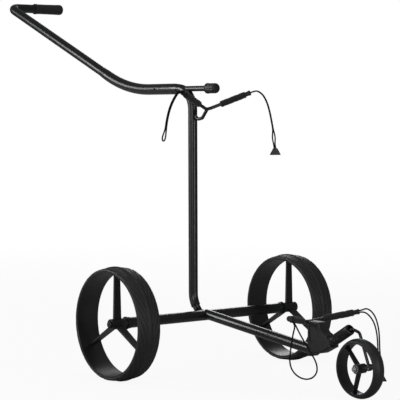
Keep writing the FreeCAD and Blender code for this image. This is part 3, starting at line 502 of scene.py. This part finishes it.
# Elastic cords.
cordSet = {"diameter": 0.0038, "sides": 6}
cordRoutes = {
    "upper_right": [
        (0.1114, -0.2047, 0.7284),
        (0.1185, -0.2073, 0.7312),
        (0.1300, -0.2129, 0.7342),
        (0.1442, -0.2192, 0.7230),
        (0.1536, -0.2234, 0.7044),
        (0.1604, -0.2264, 0.6804),
        (0.1655, -0.2287, 0.6534),
        (0.1692, -0.2303, 0.6304),
        (0.1734, -0.2310, 0.6184),
        (0.1756, -0.2308, 0.6064),
        (0.1745, -0.2303, 0.5944),
        (0.1765, -0.2312, 0.5824),
        (0.1793, -0.2324, 0.5744),
        (0.1793, -0.2324, 0.5684),
        (0.1716, -0.2290, 0.5684),
        (0.1716, -0.2290, 0.5744),
        (0.1731, -0.2297, 0.5824),
        (0.1710, -0.2288, 0.5944),
        (0.1683, -0.2275, 0.6074),
        (0.1692, -0.2268, 0.6194),
        (0.1710, -0.2264, 0.6304),
        (0.1672, -0.2247, 0.6534),
        (0.1621, -0.2225, 0.6804),
        (0.1554, -0.2195, 0.7044),
        (0.1459, -0.2153, 0.7230),
        (0.1318, -0.2090, 0.7342),
        (0.1200, -0.2032, 0.7312),
        (0.1129, -0.2007, 0.7284),
    ],
    "lower_right": [
        (0.1137, -0.6156, 0.1898),
        (0.1206, -0.6194, 0.1911),
        (0.1307, -0.6249, 0.1953),
        (0.1417, -0.6308, 0.1880),
        (0.1500, -0.6354, 0.1750),
        (0.1555, -0.6384, 0.1572),
        (0.1588, -0.6402, 0.1372),
        (0.1599, -0.6408, 0.1167),
        (0.1604, -0.6410, 0.0947),
        (0.1620, -0.6419, 0.0727),
        (0.1644, -0.6432, 0.0517),
        (0.1649, -0.6435, 0.0397),
        (0.1650, -0.6435, 0.0307),
        (0.1670, -0.6446, 0.0227),
        (0.1670, -0.6446, 0.0167),
        (0.1596, -0.6406, 0.0167),
        (0.1596, -0.6406, 0.0227),
        (0.1616, -0.6417, 0.0307),
        (0.1611, -0.6414, 0.0397),
        (0.1595, -0.6406, 0.0517),
        (0.1572, -0.6393, 0.0727),
        (0.1564, -0.6388, 0.0947),
        (0.1556, -0.6385, 0.1157),
        (0.1535, -0.6373, 0.1357),
        (0.1492, -0.6349, 0.1552),
        (0.1418, -0.6309, 0.1711),
        (0.1312, -0.6251, 0.1835),
        (0.1212, -0.6198, 0.1869),
        (0.1143, -0.6159, 0.1856),
    ],
    "upper_left": [
        (-0.1115, -0.2024, 0.7304),
        (-0.1185, -0.2050, 0.7332),
        (-0.1308, -0.2055, 0.7296),
        (-0.1420, -0.2071, 0.7170),
        (-0.1537, -0.2089, 0.7012),
        (-0.1637, -0.2104, 0.6810),
        (-0.1713, -0.2115, 0.6571),
        (-0.1754, -0.2121, 0.6354),
        (-0.1810, -0.2130, 0.6249),
        (-0.1867, -0.2138, 0.6139),
        (-0.1844, -0.2135, 0.6049),
        (-0.1769, -0.2124, 0.6074),
        (-0.1737, -0.2119, 0.6179),
        (-0.1717, -0.2116, 0.6334),
        (-0.1676, -0.2110, 0.6562),
        (-0.1603, -0.2099, 0.6796),
        (-0.1505, -0.2084, 0.6989),
        (-0.1393, -0.2067, 0.7140),
        (-0.1296, -0.2053, 0.7256),
        (-0.1199, -0.2055, 0.7292),
        (-0.1129, -0.2029, 0.7264),
    ],
    "lower_left": [
        (-0.1075, -0.6188, 0.1811),
        (-0.1048, -0.6238, 0.1755),
        (-0.1012, -0.6212, 0.1659),
        (-0.1039, -0.6191, 0.1534),
        (-0.1061, -0.6174, 0.1379),
        (-0.1083, -0.6156, 0.1189),
        (-0.1102, -0.6142, 0.1009),
        (-0.1107, -0.6137, 0.0844),
        (-0.1081, -0.6158, 0.0689),
        (-0.1015, -0.6210, 0.0554),
        (-0.0909, -0.6294, 0.0454),
        (-0.0787, -0.6390, 0.0414),
        (-0.0677, -0.6477, 0.0454),
        (-0.0606, -0.6533, 0.0559),
        (-0.0590, -0.6546, 0.0689),
        (-0.0618, -0.6524, 0.0839),
        (-0.0684, -0.6471, 0.0999),
        (-0.0763, -0.6409, 0.1164),
        (-0.0834, -0.6353, 0.1319),
        (-0.0909, -0.6294, 0.1489),
        (-0.0973, -0.6243, 0.1654),
        (-0.1012, -0.6214, 0.1751),
        (-0.1040, -0.6164, 0.1808),
    ],
}
cordFacts = {
    "upper_right": (0.406, "mast", "upper_right_toggle"),
    "lower_right": (0.410, "frame", "lower_right_toggle"),
    "upper_left": (0.313, "mast", None),
    "lower_left": (0.332, "frame", None),
}


def cordCurve(name, points):
    data = bpy.data.curves.new(name, "CURVE")
    data.dimensions = "3D"
    data.resolution_u = 8
    data.bevel_depth = cordSet["diameter"] / 2
    data.bevel_resolution = cordSet["sides"]
    data.use_fill_caps = True
    line = data.splines.new("NURBS")
    line.points.add(len(points) - 1)
    for place, point in zip(line.points, points):
        place.co = (*point, 1.0)
    line.order_u = 3
    line.use_endpoint_u = True
    data.materials.append(finishes["cord_elastic"])
    curve = bpy.data.objects.new(name, data)
    bpy.context.scene.collection.objects.link(curve)
    return curve


for corner, (length, body, toggle) in cordFacts.items():
    points = cordRoutes[corner]
    name = corner.split("_")[0] + corner.split("_")[1].capitalize() + "Elastic"
    curve = cordCurve(name, points)
    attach(curve, body)
    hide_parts(corner + "_cord")
print("cords made")

# Floor, backdrop and light.
stageSet = {
    "white": "#ffffff",
    "camera": 1.0,
    "ambient": 0.16,
    "floorSize": 60.0,
    "nearShare": 0.08,
    "floorGlow": 0.50,       # floor brightness for everything but the camera
    "fadeFrom": 1.2,
    "fadeTo": 4.5,
}


def addStage():
    scene = bpy.context.scene
    scene.view_settings.view_transform = "Standard"
    world = bpy.data.worlds.new("studio")
    scene.world = world
    world.use_nodes = True
    tree = world.node_tree
    tree.nodes.clear()
    path = addNode(tree, "ShaderNodeLightPath")
    seen = addNode(tree, "ShaderNodeBackground", {0: linearColour(stageSet["white"]), 1: stageSet["camera"]})
    felt = addNode(tree, "ShaderNodeBackground", {0: linearColour("#f2f4f7"), 1: stageSet["ambient"]})
    mix = addNode(tree, "ShaderNodeMixShader")
    out = addNode(tree, "ShaderNodeOutputWorld")
    tree.links.new(path.outputs["Is Camera Ray"], mix.inputs[0])
    tree.links.new(felt.outputs[0], mix.inputs[1])
    tree.links.new(seen.outputs[0], mix.inputs[2])
    tree.links.new(mix.outputs[0], out.inputs[0])

    half = stageSet["floorSize"] / 2
    mesh = bpy.data.meshes.new("floor")
    mesh.from_pydata([(-half, -half, 0), (half, -half, 0), (half, half, 0), (-half, half, 0)], [],
                     [(0, 1, 2, 3)])
    floor = bpy.data.objects.new("floor", mesh)
    scene.collection.objects.link(floor)
    floor.location.z = -0.0005
    material = bpy.data.materials.new("paleFloor")
    material.use_nodes = True
    tree = material.node_tree
    tree.nodes.clear()
    place = addNode(tree, "ShaderNodeTexCoord")
    reach = addNode(tree, "ShaderNodeVectorMath", operation="LENGTH")
    fade = addNode(tree, "ShaderNodeMapRange",
                   {"From Min": stageSet["fadeFrom"], "From Max": stageSet["fadeTo"],
                    "To Min": 1 - stageSet["nearShare"], "To Max": 1.0}, interpolation_type="SMOOTHSTEP")
    matt = addNode(tree, "ShaderNodeBsdfDiffuse", {"Color": linearColour("#f4f4f4")})
    glow = addNode(tree, "ShaderNodeEmission", {"Color": linearColour(stageSet["white"]),
                                               "Strength": stageSet["camera"]})
    mix = addNode(tree, "ShaderNodeMixShader")
    path = addNode(tree, "ShaderNodeLightPath")
    dim = addNode(tree, "ShaderNodeBsdfDiffuse", {"Color": (stageSet["floorGlow"],) * 3 + (1.0,)})
    choice = addNode(tree, "ShaderNodeMixShader")
    out = addNode(tree, "ShaderNodeOutputMaterial")
    tree.links.new(place.outputs["Object"], reach.inputs[0])
    tree.links.new(reach.outputs["Value"], fade.inputs["Value"])
    tree.links.new(fade.outputs[0], mix.inputs[0])
    tree.links.new(matt.outputs[0], mix.inputs[1])
    tree.links.new(glow.outputs[0], mix.inputs[2])
    tree.links.new(path.outputs["Is Camera Ray"], choice.inputs[0])
    tree.links.new(dim.outputs[0], choice.inputs[1])
    tree.links.new(mix.outputs[0], choice.inputs[2])
    tree.links.new(choice.outputs[0], out.inputs[0])
    mesh.materials.append(material)


lights = {
    "keyBox": {"place": (-2.6, 2.6, 1.55), "aim": (0, 0, 0.5), "size": (1.0, 1.4), "power": 50},
    "topBox": {"place": (-0.3, -0.6, 3.4), "aim": (0, -0.1, 0.3), "size": (2.4, 2.4), "power": 16},
    "fillBox": {"place": (-3.4, -2.6, 1.3), "aim": (0, -0.2, 0.4), "size": (1.8, 1.4), "power": 34},
    "leftBox": {"place": (-4.2, 1.2, 0.6), "aim": (0, 0, 0.5), "size": (0.5, 1.8), "power": 15},
    "sideBox": {"place": (0.3, -3.7, 0.7), "aim": (0, -0.2, 0.4), "size": (0.45, 1.6), "power": 20},
    "backBox": {"place": (2.4, 2.2, 1.6), "aim": (0, 0, 0.4), "size": (0.8, 1.4), "power": 14},
}


def addLight(name, facts):
    data = bpy.data.lights.new(name, "AREA")
    data.shape = "RECTANGLE"
    data.size, data.size_y = facts["size"]
    data.energy = facts["power"]
    light = bpy.data.objects.new(name, data)
    light.location = facts["place"]
    aim = Vector(facts["aim"]) - Vector(facts["place"])
    light.rotation_euler = aim.to_track_quat("-Z", "Y").to_euler()
    bpy.context.scene.collection.objects.link(light)


addStage()
for lightName, facts in lights.items():
    addLight(lightName, facts)
print("stage and lights made")
